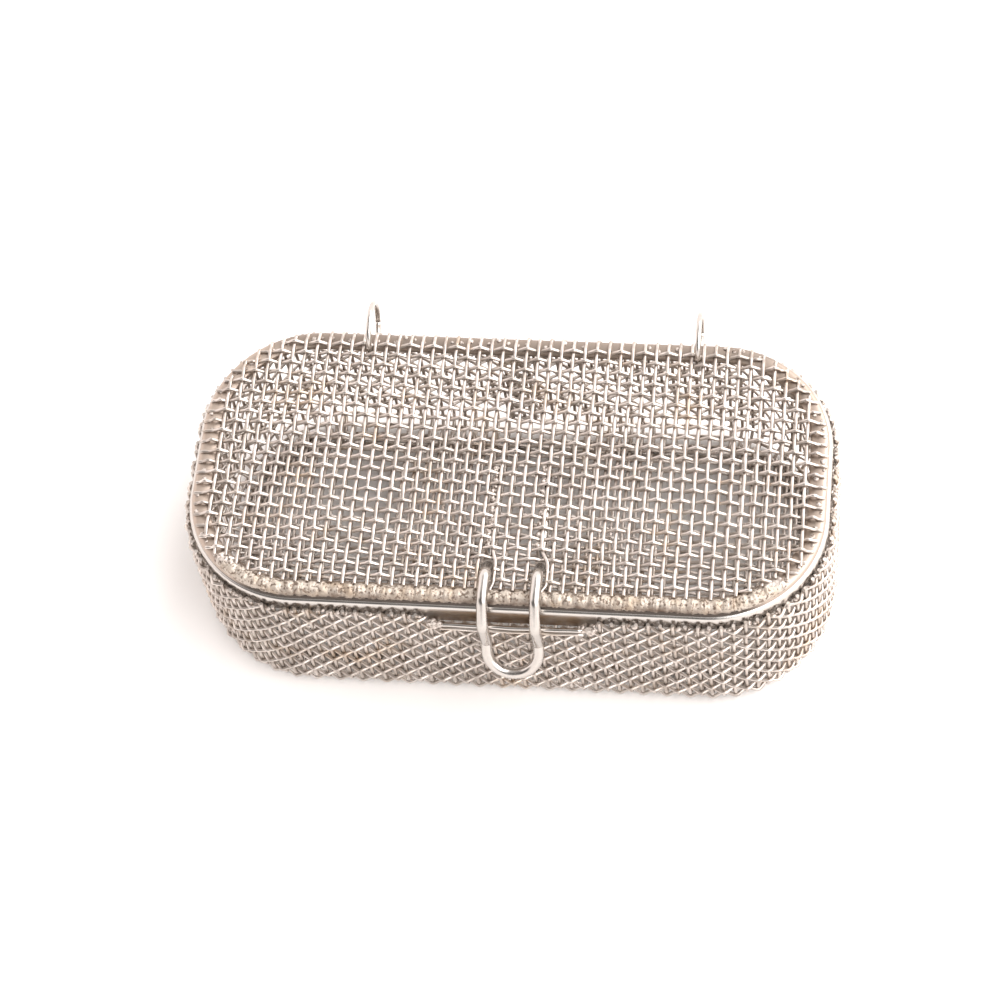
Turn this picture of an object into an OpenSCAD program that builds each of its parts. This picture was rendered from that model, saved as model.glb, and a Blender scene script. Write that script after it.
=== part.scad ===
// Small woven wire mesh sterilising basket: a rounded oblong box of plain-weave mesh with a
// steel rim band, a flat mesh lid on two wire rings, and a sprung wire latch at the front.
// Millimetres, +Z up. X runs along the length, the latch is on the -Y side and the rings on +Y.
// The origin is the middle of the footprint, on the surface that the basket stands on.
// A plain weave is drawn as two flat layers of straight wires, one crossing the other.

/* [Basket] */
// Length over the outer face of the rim band
basket_l = 82; // [76:1:110]
// Depth over the outer face of the rim band
basket_w = 40; // [38:1:60]
// Height from the table to the top of the rim
basket_h = 23; // [18:0.5:40]
// Corner radius of the rim band's outer face
corner_r = 15; // [12:0.5:16]
// Radius of the bend at the foot of the wall mesh
foot_r = 3; // [2.5:0.25:4]
// Length of the wall mesh that turns in under the floor
foot_lap = 2.5; // [2:0.25:4]
// Depth of the flat that pressing leaves under the foot wires
foot_flat = 0.04; // [0.02:0.01:0.08]
// How far the floor panel stays inside the rim band's outer face
floor_inset = 2.1; // [2:0.1:4]
// Width of the lap where the two ends of the wall mesh meet at the back
seam_w = 4; // [3:0.5:8]
// Place of the lap along the back wall
seam_x = -1.5; // [-8:0.5:8]

/* [Mesh] */
// Diameter of the woven wire
wire_d = 0.44; // [0.36:0.02:0.48]
// Distance from wire to wire
mesh_pitch = 1.54; // [1.5:0.02:1.9]
// Air between two layers of wire
layer_gap = 0.02; // [0.01:0.01:0.04]

/* [Rim band] */
// Thickness of the band
band_t = 0.7; // [0.5:0.1:1]
// Height of the band, from its lower edge to the top of its bead
band_h = 2.6; // [2.2:0.1:3]
// Diameter of the bead rolled along the top of the band
bead_d = 1; // [0.9:0.1:1.5]
// Distance from the band's outer face to the bead's centre line
bead_in = 0.5; // [0.5:0.05:0.8]
// How far the wall mesh stops below the top of the rim
mesh_top_drop = 1.3; // [1:0.1:1.6]
// How much lower the band reaches behind the catch wire
lip_drop = 0.95; // [0.5:0.05:1.05]

/* [Lid] */
// Gap in plan between the lid strip's edge and the band's outer face
strip_in = 0.4; // [0.3:0.05:0.8]
// Width of the flat strip round the lid
strip_w = 2.4; // [2:0.1:2.5]
// Thickness of the strip
strip_t = 0.8; // [0.6:0.1:1]
// Radius of the strip's upper outer edge
strip_edge_r = 0.55; // [0.2:0.05:0.55]
// Width of bare strip outside the lid mesh
bare_w = 1.3; // [1.1:0.1:1.5]
// Width of the weld bead along the front of the lid
weld_w = 1.5; // [1:0.1:1.6]
// Height of the weld bead above the strip
weld_h = 0.95; // [0.8:0.05:1.2]
// Bare strip in front of the weld bead
weld_in = 0.55; // [0.5:0.05:0.7]
// Angle of each front corner that the weld bead follows
weld_arc = 45; // [20:5:60]
// Radius of a tack weld
tack_r = 0.38; // [0.3:0.02:0.4]

/* [Hinge rings] */
// Distance of the left ring from the middle of the length, rounded to a mesh opening
ring_left_x = 20; // [12:1:24]
// Distance of the right ring from the middle of the length, rounded to a mesh opening
ring_right_x = 23; // [12:1:24]
// Radius of a ring's centre line
ring_r = 3.6; // [3.4:0.05:3.7]
// Diameter of the ring wire
ring_d = 0.76; // [0.6:0.02:0.8]
// How far the ring's centre lies behind the band's outer face
ring_back = 0.2; // [0.1:0.05:0.3]
// How far the ring's centre lies above the top of the rim
ring_up = 0.4; // [0.3:0.05:0.5]

/* [Latch] */
// Place of the latch along the front
latch_x = 2; // [-6:0.5:6]
// Distance between the centre lines of the latch's two legs
latch_span = 6.6; // [5:0.2:9]
// Diameter of the latch wire
latch_d = 1.2; // [1:0.05:1.3]
// Length of the latch legs welded under the lid
leg_l = 14; // [8:0.5:18]
// Distance from the band's outer face back to the latch's flexing point
flex_in = 5.8; // [5.5:0.1:6.5]
// Running gap where the latch wire flexes
flex_gap = 0.04; // [0.03:0.01:0.08]
// Height of the latch's arch above the top of the rim
arch_up = 2.6; // [2.5:0.1:3.5]
// How far the latch's wire stands in front of the band beside the rim
arch_out = 2.15; // [2.15:0.05:2.5]
// Distance of the kink below the top of the rim
kink_drop = 5.6; // [5:0.1:7]
// How far the finger loop reaches below the kink
tab_drop = 4; // [3:0.1:4.5]
// How far the finger loop reaches out beyond the kink
tab_out = 2.36; // [1.5:0.02:3]
// Diameter of the catch wire
catch_d = 0.6; // [0.5:0.02:0.64]
// Length of the catch wire between its welds
catch_l = 18.2; // [14:0.2:24]
// Distance of the catch wire below the top of the rim
catch_drop = 2.9; // [2.7:0.1:3.2]

/* [Hidden] */

// Colours
MESH_GREY = "#aba49c";
RIM_GREY = "#c4c0ba";
LATCH_GREY = "#d0ccc6";
WELD_TAN = "#a8957c";

// Roundness of wires and of wide arcs
WIRE_FN = 20;
ARC_FN = 120;

// Mesh layers on the wall, as distances outward from the band's outer face
wire_r = wire_d / 2;
layer_step = wire_d + layer_gap;
hoop_out = layer_gap + wire_r;
upright_out = hoop_out + layer_step;

// Heights of the layers at the foot and of the floor panel
foot_z = wire_r - foot_flat;
foot_hoop_z = foot_z + layer_step;
floor_long_z = foot_hoop_z + layer_step;
floor_cross_z = floor_long_z + layer_step;
bend_z = foot_z + foot_r;
bend_out = upright_out - foot_r;
hoop_bend_r = foot_r - layer_step;
mesh_top = basket_h - mesh_top_drop;

// Rim band
bead_r = bead_d / 2;
bead_z = basket_h - bead_r;
band_low = basket_h - band_h;

// Hinge rings and the axis they share with the lid
ring_y = basket_w / 2 + ring_back;
ring_z = basket_h + ring_up;
ring_left_at = mesh_pitch * round(ring_left_x / mesh_pitch);
ring_right_at = mesh_pitch * round(ring_right_x / mesh_pitch);

// Lid
strip_l = basket_l - 2 * strip_in;
strip_depth = basket_w - 2 * strip_in;
strip_r = corner_r - strip_in;
strip_top = basket_h + strip_t;
lid_long_z = strip_top + layer_gap + wire_r;
lid_cross_z = lid_long_z + layer_step;
lid_top = lid_cross_z + wire_r;
front_in = weld_in + weld_w + layer_gap;
ring_cross_y = ring_y - sqrt(pow(ring_r, 2) - pow(lid_long_z - ring_z, 2));
ring_foot_z = ring_z - ring_r;

// Latch
latch_r = latch_d / 2;
leg_z = strip_top - latch_r;
flex_y = -basket_w / 2 + flex_in;
leg_slot_gap = 0.12;
leg_slot_w = latch_d + 2 * leg_slot_gap;
leg_slot_front = 2.6;
leg_slot_l = 3.7;
mesh_face = upright_out + wire_r;
arch_y = -basket_w / 2 - arch_out;
kink_gap = 0.1;
kink_y = -basket_w / 2 - mesh_face - latch_r - kink_gap;
catch_y = -basket_w / 2 - mesh_face;
catch_z = basket_h - catch_drop;
catch_weld_r = 0.75;
catch_weld_l = 1.4;
cut_gap = 0.05;
slot_half = catch_l / 2 + catch_weld_l + cut_gap;
slot_z = catch_z - catch_weld_r - cut_gap;

// Runs and bend radii of the latch's wire, and its shortest straight run before the round end
exit_run = 2.4;
exit_bend_r = 1.4;
arch_top_y = -basket_w / 2 + strip_in - 0.1;
arch_bend_r = 1.6;
shoulder_drop = 0.4;
kink_bend_r = 0.8;
loop_lead = 0.45;

// Openings between the weld nuggets on the latch legs, counted from the back end of the legs
NUGGET_STEPS = [1, 4, 8];
nugget_in = 0.3;

// Half the length of a line that crosses a rounded rectangle at distance t from its middle
function reach(t, along, across, r) =
    abs(t) <= across / 2 - r ? along / 2
    : along / 2 - r + sqrt(max(0, pow(r, 2) - pow(abs(t) - (across / 2 - r), 2)));

// Places of wires on both sides of the middle, half a pitch off it, out to a limit
function half_steps(limit) =
    [for (i = [-ceil(limit / mesh_pitch) : ceil(limit / mesh_pitch)])
        let (t = (i + 0.5) * mesh_pitch) if (abs(t) <= limit) t];

// Places of wires so that one mesh opening is centred on a given line
function steps_round(line, low, high) =
    [for (i = [floor((low - line) / mesh_pitch) - 1 : ceil((high - line) / mesh_pitch)])
        let (t = line + (i + 0.5) * mesh_pitch) if (t >= low && t <= high) t];

// A wire along X at a given Y and height
module wire_x(x0, x1, y, z, d = wire_d)
    translate([x0, y, z]) rotate([0, 90, 0]) cylinder(h = x1 - x0, d = d, $fn = WIRE_FN);

// A wire along Y at a given X and height
module wire_y(y0, y1, x, z, d = wire_d)
    translate([x, y1, z]) rotate([90, 0, 0]) cylinder(h = y1 - y0, d = d, $fn = WIRE_FN);

// Sweeps a 2D profile round a rounded rectangle; the profile's x points outward, its y up
module swept_ring(l, w, r) {
    for (turn = [0, 180]) rotate(turn) {
        translate([r - l / 2, w / 2, 0]) rotate([90, 0, 90])
            linear_extrude(l - 2 * r) children();
        translate([l / 2, w / 2 - r, 0]) rotate([90, 0, 0])
            linear_extrude(w - 2 * r) children();
        translate([l / 2 - r, w / 2 - r, 0])
            rotate_extrude(angle = 90, $fn = ARC_FN) translate([r, 0]) children();
        translate([r - l / 2, w / 2 - r, 0]) rotate(90)
            rotate_extrude(angle = 90, $fn = ARC_FN) translate([r, 0]) children();
    }
}

// One hoop wire of the wall, at a distance outward from the band's outer face
module hoop(out, z)
    translate([0, 0, z])
        swept_ring(basket_l + 2 * out, basket_w + 2 * out, corner_r + out)
            circle(d = wire_d, $fn = WIRE_FN);

// One upright of the wall with its bend and its foot; local +Y points out of the basket
module upright(top) {
    difference() {
        union() {
            translate([0, upright_out, bend_z]) cylinder(h = top - bend_z, d = wire_d, $fn = WIRE_FN);
            translate([0, bend_out, bend_z]) rotate([90, 0, 90]) rotate(-90)
                rotate_extrude(angle = 90, $fn = ARC_FN) translate([foot_r, 0])
                    circle(d = wire_d, $fn = WIRE_FN);
            wire_y(bend_out - foot_lap, bend_out, 0, foot_z);
        }
        translate([-wire_d, bend_out - foot_lap - 1, -1]) cube([2 * wire_d, foot_r + foot_lap + 2, 1]);
    }
}

// True where an upright at x on the front wall stands below the catch wire
function in_slot(x) = abs(x - latch_x) < slot_half + wire_r;

// Uprights of a long wall: 1 for the rear, -1 for the front
module long_wall(side)
    for (x = half_steps(basket_l / 2 - corner_r))
        scale([1, side, 1])
            translate([x, basket_w / 2, 0])
                upright(side < 0 && in_slot(x) ? slot_z : mesh_top);

// Uprights of a short wall: 1 for the right, -1 for the left
module short_wall(side) {
    count = floor((basket_w / 2 - corner_r) / mesh_pitch);
    for (j = [-count : count])
        translate([side * basket_l / 2, j * mesh_pitch, 0]) rotate(-90 * side) upright(mesh_top);
}

// Uprights of one corner, fanned round its centre; start is the angle of the first one
module corner(side_x, side_y, start) {
    count = floor((corner_r + upright_out) * PI / 2 / mesh_pitch);
    translate([side_x * (basket_l / 2 - corner_r), side_y * (basket_w / 2 - corner_r), 0])
        for (k = [0 : count - 1])
            rotate(start + (k + 0.5) * 90 / count - 90) translate([0, corner_r, 0]) upright(mesh_top);
}

module wall_front_uprights() color(MESH_GREY) long_wall(-1);
module wall_rear_uprights() color(MESH_GREY) long_wall(1);
module wall_left_uprights() color(MESH_GREY) short_wall(-1);
module wall_right_uprights() color(MESH_GREY) short_wall(1);
module corner_front_left_uprights() color(MESH_GREY) corner(-1, -1, 180);
module corner_front_right_uprights() color(MESH_GREY) corner(1, -1, 270);
module corner_rear_left_uprights() color(MESH_GREY) corner(-1, 1, 90);
module corner_rear_right_uprights() color(MESH_GREY) corner(1, 1, 0);

// Hoops inside the uprights: up the wall, round the bend and on the foot
module wall_hoops() color(MESH_GREY) {
    bend_steps = floor(hoop_bend_r * PI / 2 / mesh_pitch) + 1;
    for (z = steps_round(ring_foot_z, bend_z + wire_r, mesh_top - wire_r))
        if (z > slot_z - wire_r)
            difference() {
                hoop(hoop_out, z);
                translate([latch_x - slot_half, -basket_w, z - wire_d]) cube([2 * slot_half, basket_w, 2 * wire_d]);
            }
        else
            hoop(hoop_out, z);
    for (k = [1 : bend_steps])
        let (a = 90 * k / bend_steps)
            hoop(bend_out + hoop_bend_r * cos(a), bend_z - hoop_bend_r * sin(a));
    for (lap = [mesh_pitch : mesh_pitch : foot_lap - wire_r])
        hoop(bend_out - lap, foot_hoop_z);
}

// The inner end of the wall mesh, lapped inside the outer end at the back
module wall_seam_lap() color(MESH_GREY) {
    lap_y = basket_w / 2 + hoop_out - layer_step;
    lap_low = bend_z + wire_r;
    lap_high = band_low - layer_gap;
    for (t = [-1 : 1])
        translate([seam_x + t * mesh_pitch, lap_y, lap_low])
            cylinder(h = lap_high - lap_low, d = wire_d, $fn = WIRE_FN);
    for (z = steps_round(ring_foot_z, lap_low + wire_r, lap_high - wire_r))
        wire_x(seam_x - seam_w / 2, seam_x + seam_w / 2, lap_y - layer_step, z);
}

// Floor wires along the length, and the ones that cross them
module floor_long_wires() color(MESH_GREY)
    for (y = half_steps(basket_w / 2 - floor_inset - wire_d))
        let (h = reach(y, basket_l - 2 * floor_inset, basket_w - 2 * floor_inset, corner_r - floor_inset))
            wire_x(-h, h, y, floor_long_z);
module floor_cross_wires() color(MESH_GREY)
    for (x = half_steps(basket_l / 2 - floor_inset - wire_d))
        let (h = reach(x, basket_w - 2 * floor_inset, basket_l - 2 * floor_inset, corner_r - floor_inset))
            wire_y(-h, h, x, floor_cross_z);

// Tack welds in the floor's openings, over the turned-in foot of the wall mesh
module floor_tack_welds() color(WELD_TAN) {
    row = mesh_pitch * floor((basket_w / 2 - floor_inset - mesh_pitch / 2) / mesh_pitch);
    span = floor((basket_l / 2 - corner_r) / mesh_pitch);
    for (i = [-span : 3 : span], side = [-1, 1])
        translate([i * mesh_pitch, side * row, floor_long_z - wire_r])
            cylinder(h = layer_step + wire_d, r = tack_r, $fn = WIRE_FN);
}

// Band with a bead along its top, and a lip that closes the cut-out behind the catch wire
module rim_band() color(RIM_GREY) {
    swept_ring(basket_l, basket_w, corner_r)
        union() {
            translate([-band_t, band_low]) square([band_t, bead_z - band_low]);
            translate([-bead_in, bead_z]) circle(d = bead_d, $fn = 40);
        }
    translate([latch_x - slot_half, -basket_w / 2, band_low - lip_drop])
        cube([2 * slot_half, band_t, lip_drop + band_t]);
}

// A short round stud on the band's outer face, in an opening of the wall mesh; local +Y is out
module wall_tack()
    translate([0, 0, mesh_top - tack_r - layer_gap]) rotate([-90, 0, 0])
        cylinder(h = mesh_face, r = tack_r, $fn = WIRE_FN);

// Tack welds between the band and the wall mesh, in every second opening
module wall_tack_welds() color(WELD_TAN) {
    span = floor((basket_l / 2 - corner_r) / mesh_pitch);
    count = floor((corner_r + upright_out) * PI / 2 / mesh_pitch);
    for (i = [1 - span : 2 : span - 1]) {
        translate([i * mesh_pitch, basket_w / 2, 0]) wall_tack();
        if (!in_slot(i * mesh_pitch))
            scale([1, -1, 1]) translate([i * mesh_pitch, basket_w / 2, 0]) wall_tack();
    }
    for (sx = [-1, 1], sy = [-1, 1])
        scale([sx, sy, 1])
            translate([basket_l / 2 - corner_r, basket_w / 2 - corner_r, 0])
                for (k = [1 : 2 : count - 1])
                    rotate(k * 90 / count - 90) translate([0, corner_r, 0]) wall_tack();
}

// The wire that the latch snaps under, and the welds that hold its two ends
module catch_wire() color(LATCH_GREY)
    wire_x(latch_x - catch_l / 2, latch_x + catch_l / 2, catch_y, catch_z, catch_d);
module catch_welds() color(WELD_TAN)
    for (side = [-1, 1])
        translate([latch_x + side * (catch_l + catch_weld_l) / 2, -basket_w / 2 - catch_weld_r - layer_gap, catch_z])
            rotate([0, 90, 0]) cylinder(h = catch_weld_l, r = catch_weld_r, center = true, $fn = 32);

// Flat strip that stiffens the lid's edge and rests on the bead
module lid_strip() color(RIM_GREY)
    translate([0, 0, basket_h])
        swept_ring(strip_l, strip_depth, strip_r) {
            union() {
                translate([-strip_w, 0]) square([strip_w - strip_edge_r, strip_t]);
                translate([-strip_w, 0]) square([strip_w, strip_t - strip_edge_r]);
                translate([-strip_edge_r, strip_t - strip_edge_r])
                    intersection() {
                        circle(r = strip_edge_r, $fn = 32);
                        square(strip_edge_r);
                    }
            }
        }

// Bare strip outside a lid wire that ends at a given Y; the wires that meet the front weld stop at it
function end_in(y) =
    y < wire_r - strip_depth / 2 + strip_r - (strip_r - front_in) * cos(weld_arc) ? front_in : bare_w;

// Half the length of a lid wire at distance t from the middle, ending e inside the strip's edge; at the
// weld it ends where the wire's side meets it
function lid_reach(t, along, across, e) =
    reach(e == front_in ? abs(t) + wire_r : t, along - 2 * e, across - 2 * e, strip_r - e);

// Slots in the lid mesh that the latch's two legs come up through
module leg_slots()
    for (side = [-1, 1])
        translate([latch_x + side * latch_span / 2 - leg_slot_w / 2, flex_y - leg_slot_front, strip_top - wire_d])
            cube([leg_slot_w, leg_slot_l, lid_top - strip_top + 2 * wire_d]);

// Lid wires along the length, and the ones that cross them
module lid_long_wires() color(MESH_GREY)
    difference() {
        for (y = steps_round(ring_cross_y, front_in + wire_r - strip_depth / 2, strip_depth / 2 - bare_w - wire_r))
            let (h = lid_reach(y, strip_l, strip_depth, end_in(y)))
                wire_x(-h, h, y, lid_long_z);
        leg_slots();
    }
module lid_cross_wires() color(MESH_GREY)
    difference() {
        for (x = half_steps(strip_l / 2 - bare_w - wire_r))
            let (rear = lid_reach(x, strip_depth, strip_l, bare_w))
                wire_y(-lid_reach(x, strip_depth, strip_l, end_in(-rear)), rear, x, lid_cross_z);
        leg_slots();
    }

// Half-round bead of weld that seals the ends of the lid wires along the front
module weld_profile()
    intersection() {
        translate([-weld_in - weld_w / 2, weld_h - weld_w / 2]) circle(d = weld_w, $fn = 40);
        translate([-weld_in - weld_w, 0]) square([weld_w, weld_h]);
    }
module lid_front_weld() color(WELD_TAN)
    translate([0, 0, strip_top]) rotate(180) {
        translate([strip_r - strip_l / 2, strip_depth / 2, 0]) rotate([90, 0, 90])
            linear_extrude(strip_l - 2 * strip_r) weld_profile();
        for (side = [0, 1])
            mirror([side, 0, 0])
                translate([strip_l / 2 - strip_r, strip_depth / 2 - strip_r, 0]) rotate(90 - weld_arc)
                    rotate_extrude(angle = weld_arc, $fn = ARC_FN) translate([strip_r, 0]) weld_profile();
    }

// A tack weld on the strip, just outside the end of a lid wire; local +Y is outward
module lid_tack()
    translate([0, layer_gap + tack_r - bare_w, strip_top])
        difference() {
            sphere(r = tack_r, $fn = 24);
            translate([-1, -1, -1]) cube([2, 2, 1]);
        }

// Tack welds at every second wire end along the rear, the sides and the corners of the lid
module lid_tack_welds() color(WELD_TAN) {
    span = floor((strip_l / 2 - strip_r) / mesh_pitch);
    side_span = floor((strip_depth / 2 - strip_r) / mesh_pitch);
    count = floor((strip_r - bare_w) * PI / 4 / mesh_pitch);
    for (i = [-span : 2 : span - 1])
        translate([(i + 0.5) * mesh_pitch, strip_depth / 2, 0]) lid_tack();
    for (turn = [-90, 90], j = [-side_span : 2 : side_span])
        rotate(turn) translate([j * mesh_pitch, strip_l / 2, 0]) lid_tack();
    for (sx = [-1, 1], k = [0 : count - 1])
        scale([sx, 1, 1])
            translate([strip_l / 2 - strip_r, strip_depth / 2 - strip_r, 0])
                rotate((k + 0.5) * 90 / count - 90) translate([0, strip_r, 0]) lid_tack();
}

// A latch leg welded under the lid mesh, hollowed at its front end round the flexing point
module latch_leg(side) {
    difference() {
        wire_y(flex_y, flex_y + leg_l, latch_x + side * latch_span / 2, leg_z, latch_d);
        translate([latch_x + side * latch_span / 2, flex_y, leg_z]) sphere(r = latch_r + flex_gap, $fn = 32);
    }
}
module latch_leg_left() color(LATCH_GREY) latch_leg(-1);
module latch_leg_right() color(LATCH_GREY) latch_leg(1);

// Nuggets of weld that fill mesh openings above the latch legs
module latch_leg_welds() color(WELD_TAN)
    for (side = [-1, 1]) {
        open_x = mesh_pitch * round((latch_x + side * (latch_span / 2 - nugget_in)) / mesh_pitch);
        for (i = NUGGET_STEPS)
            translate([open_x, ring_cross_y - mesh_pitch * (i + floor((ring_cross_y - flex_y - leg_l) / mesh_pitch)), strip_top])
                cylinder(h = lid_top - strip_top, r = tack_r, $fn = WIRE_FN);
    }

// Side view of the latch's loop as [y, z, bend radius], from the flexing point to the kink
LATCH_ROUTE = [
    [flex_y, leg_z, 0],
    [flex_y - exit_run, basket_h + arch_up, exit_bend_r],
    [arch_top_y, basket_h + arch_up, arch_bend_r],
    [arch_y, basket_h - shoulder_drop, arch_bend_r],
    [kink_y, basket_h - kink_drop, kink_bend_r],
    [kink_y - tab_out, basket_h - kink_drop - tab_drop, 0]
];

function unit(v) = v / norm(v);

// Points of a rounded corner b between a and c
function fillet(a, b, c, r, n = 5) =
    let (u = unit(a - b), v = unit(c - b))
        let (half = acos(u * v) / 2)
            let (cut = r / tan(half), centre = b + unit(u + v) * r / sin(half))
                let (p = b + u * cut - centre, q = b + v * cut - centre)
                    [for (i = [0 : n])
                        let (m = p * (1 - i / n) + q * i / n) centre + unit(m) * r];

function route_point(i) = [LATCH_ROUTE[i][0], LATCH_ROUTE[i][1]];
tab_len = norm([tab_out, tab_drop]);
tab_way = unit(route_point(5) - route_point(4));
loop_r = latch_span / 2;

// Left leg of the loop, its round end, and the right leg back again, as [x, y, z, wire radius]
side_path = [
    route_point(0),
    for (i = [1 : 4]) for (p = fillet(route_point(i - 1), route_point(i), route_point(i + 1), LATCH_ROUTE[i][2])) p
];
loop_start = route_point(4) + tab_way * max(loop_lead, tab_len - loop_r);
loop_depth = tab_len - norm(loop_start - route_point(4));
end_way = unit(route_point(0) - route_point(1));
function side_point(side, p, r) = [side * loop_r, p[0], p[1], r];
latch_path = [
    for (a = [75 : -15 : 15]) side_point(-1, route_point(0) + end_way * latch_r * sin(a), latch_r * cos(a)),
    for (p = side_path) side_point(-1, p, latch_r),
    for (a = [0 : 10 : 180])
        let (p = loop_start + tab_way * loop_depth * sin(a)) [-loop_r * cos(a), p[0], p[1], latch_r],
    for (i = [len(side_path) - 1 : -1 : 0]) side_point(1, side_path[i], latch_r),
    for (a = [15 : 15 : 75]) side_point(1, route_point(0) + end_way * latch_r * sin(a), latch_r * cos(a))
];

// A direction square to the path, carried from point to point without twist
function carried(ways, i, done) =
    i >= len(ways) ? done
    : let (u = done[i - 1] - ways[i] * (done[i - 1] * ways[i]))
        carried(ways, i + 1, concat(done, [unit(u)]));

// A round tube swept along points that each carry its radius, closed at both ends
module tube(path, sides = 16) {
    last = len(path) - 1;
    spots = [for (p = path) [p[0], p[1], p[2]]];
    ways = [for (i = [0 : last]) unit(spots[min(i + 1, last)] - spots[max(i - 1, 0)])];
    across = carried(ways, 1, [unit(cross(ways[0], [1, 0, 0]))]);
    points = [for (i = [0 : last], k = [0 : sides - 1])
        let (u = across[i], v = cross(ways[i], across[i]), a = 360 * k / sides)
            spots[i] + path[i][3] * (u * cos(a) + v * sin(a))];
    walls = [for (i = [0 : last - 1], k = [0 : sides - 1])
        let (a = i * sides + k, b = i * sides + (k + 1) % sides)
            each [[a, b + sides, b], [a, a + sides, b + sides]]];
    polyhedron(points, concat([[for (k = [0 : sides - 1]) k]], walls,
        [[for (k = [sides - 1 : -1 : 0]) last * sides + k]]));
}

module latch_loop() color(LATCH_GREY) translate([latch_x, 0, 0]) tube(latch_path);

// A wire ring through the lid mesh and the wall mesh, round the lid strip and the rim band
module hinge_ring()
    translate([0, ring_y, ring_z]) rotate([0, 90, 0])
        rotate_extrude($fn = ARC_FN) translate([ring_r, 0]) circle(d = ring_d, $fn = 24);
module hinge_ring_left() color(LATCH_GREY) translate([-ring_left_at, 0, 0]) hinge_ring();
module hinge_ring_right() color(LATCH_GREY) translate([ring_right_at, 0, 0]) hinge_ring();

floor_long_wires();
floor_cross_wires();
floor_tack_welds();
wall_front_uprights();
wall_rear_uprights();
wall_left_uprights();
wall_right_uprights();
corner_front_left_uprights();
corner_front_right_uprights();
corner_rear_left_uprights();
corner_rear_right_uprights();
wall_hoops();
wall_seam_lap();
rim_band();
wall_tack_welds();
catch_wire();
catch_welds();
lid_strip();
lid_long_wires();
lid_cross_wires();
lid_front_weld();
lid_tack_welds();
latch_leg_left();
latch_leg_right();
latch_leg_welds();
latch_loop();
hinge_ring_left();
hinge_ring_right();
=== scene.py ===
"""Looks of a small woven steel mesh basket with a hinged mesh lid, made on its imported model.

Laid out as a Blender add-on: the sizes and finishes are properties, and each group of like pieces
has an operator. Run as a script, it makes the whole basket and the studio it stands in.
"""

import math
import random
from functools import partial

import bmesh
import bpy
from bpy.props import FloatProperty, FloatVectorProperty, IntProperty, PointerProperty
from mathutils import Matrix, Vector, noise


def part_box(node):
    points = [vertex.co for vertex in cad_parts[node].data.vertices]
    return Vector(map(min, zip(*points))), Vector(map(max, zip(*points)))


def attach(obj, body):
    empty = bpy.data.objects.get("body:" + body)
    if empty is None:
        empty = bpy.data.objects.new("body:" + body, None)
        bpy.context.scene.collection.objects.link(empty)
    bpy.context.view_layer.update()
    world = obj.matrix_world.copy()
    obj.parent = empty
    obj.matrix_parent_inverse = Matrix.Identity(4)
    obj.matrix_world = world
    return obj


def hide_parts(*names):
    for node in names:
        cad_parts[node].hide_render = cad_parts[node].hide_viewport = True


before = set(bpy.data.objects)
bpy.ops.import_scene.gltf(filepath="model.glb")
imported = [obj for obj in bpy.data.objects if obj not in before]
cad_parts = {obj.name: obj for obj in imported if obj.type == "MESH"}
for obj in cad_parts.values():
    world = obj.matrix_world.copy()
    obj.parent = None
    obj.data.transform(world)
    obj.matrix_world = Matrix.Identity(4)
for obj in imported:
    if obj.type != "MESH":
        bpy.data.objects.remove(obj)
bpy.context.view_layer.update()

bl_info = {
    "name": "Woven Mesh Basket",
    "version": (1, 0, 0),
    "blender": (4, 5, 0),
    "location": "View3D > Sidebar > Mesh Basket",
    "description": "Woven wire, rim, welds, latch and hinge rings of a small mesh basket",
    "category": "Add Mesh",
}

MM = 0.001
PER_MM = 1 / MM  # scale of a noise with one patch to the millimetre
ROD_OFF = 0.23 * MM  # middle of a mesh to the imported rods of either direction
TACK_IN = 0.38 * MM  # edge of a weld node's box to the middle of its outermost weld
SEAT = 0.12 * MM  # height above the lid strip of the wires' tips and of the long weld's middle
CORNER_STEPS = 32
BAND_LOW, BAND_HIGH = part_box("rim_band")
STRIP_LOW, STRIP_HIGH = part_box("lid_strip")
RING_LOW, RING_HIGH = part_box("hinge_ring_right")
LEFT_RING_LOW, LEFT_RING_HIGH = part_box("hinge_ring_left")
CATCH_LOW, CATCH_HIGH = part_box("catch_wire")
LEG_LOW, LEG_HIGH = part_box("latch_leg_right")


def linear(code):
    """An sRGB hex colour as the linear values that Blender's sockets hold."""
    parts = [int(code[i : i + 2], 16) / 255 for i in (1, 3, 5)]
    return tuple(c / 12.92 if c <= 0.04045 else ((c + 0.055) / 1.055) ** 2.4 for c in parts)


def length(name, text, value):
    """A size in metres with its name and description."""
    return FloatProperty(name=name, description=text, default=value, precision=5, unit="LENGTH")


def colour(name, text, code):
    """A colour with its name and description; the default is an sRGB hex value."""
    return FloatVectorProperty(
        name=name, description=text, default=linear(code), subtype="COLOR", min=0, max=1
    )


def angle(name, text, degrees):
    """An angle with its name and description; the default is in degrees."""
    return FloatProperty(name=name, description=text, default=math.radians(degrees), unit="ROTATION")


def number(name, text, value, unit="NONE"):
    """A plain number with its name and description."""
    return FloatProperty(name=name, description=text, default=value, unit=unit)


class MeshBasketWeave(bpy.types.PropertyGroup):
    """The woven wire."""

    wire: length("Wire diameter", "Diameter of the woven wire", 0.5 * MM)
    pitch: length("Pitch", "Distance from wire to wire", 1.54 * MM)
    long_crimp: length("Lengthwise crimp", "How far the wires along the mesh swing each way", 0.37 * MM)
    cross_crimp: length("Crosswise crimp", "How far the wires across the mesh swing each way", 0.10 * MM)
    wall_crimp: length("Wall crimp", "How far the hoops of the wall swing each way", 0.43 * MM)
    foot_crimp: length("Foot crimp", "Swing of the wires where the foot is pressed flat", 0.19 * MM)
    wander: length("Wander", "How far the weave drifts from a true grid", 0.13 * MM)
    steps: IntProperty(name="Steps", description="Points on a wire between two crossings", default=6, min=4)


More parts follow.
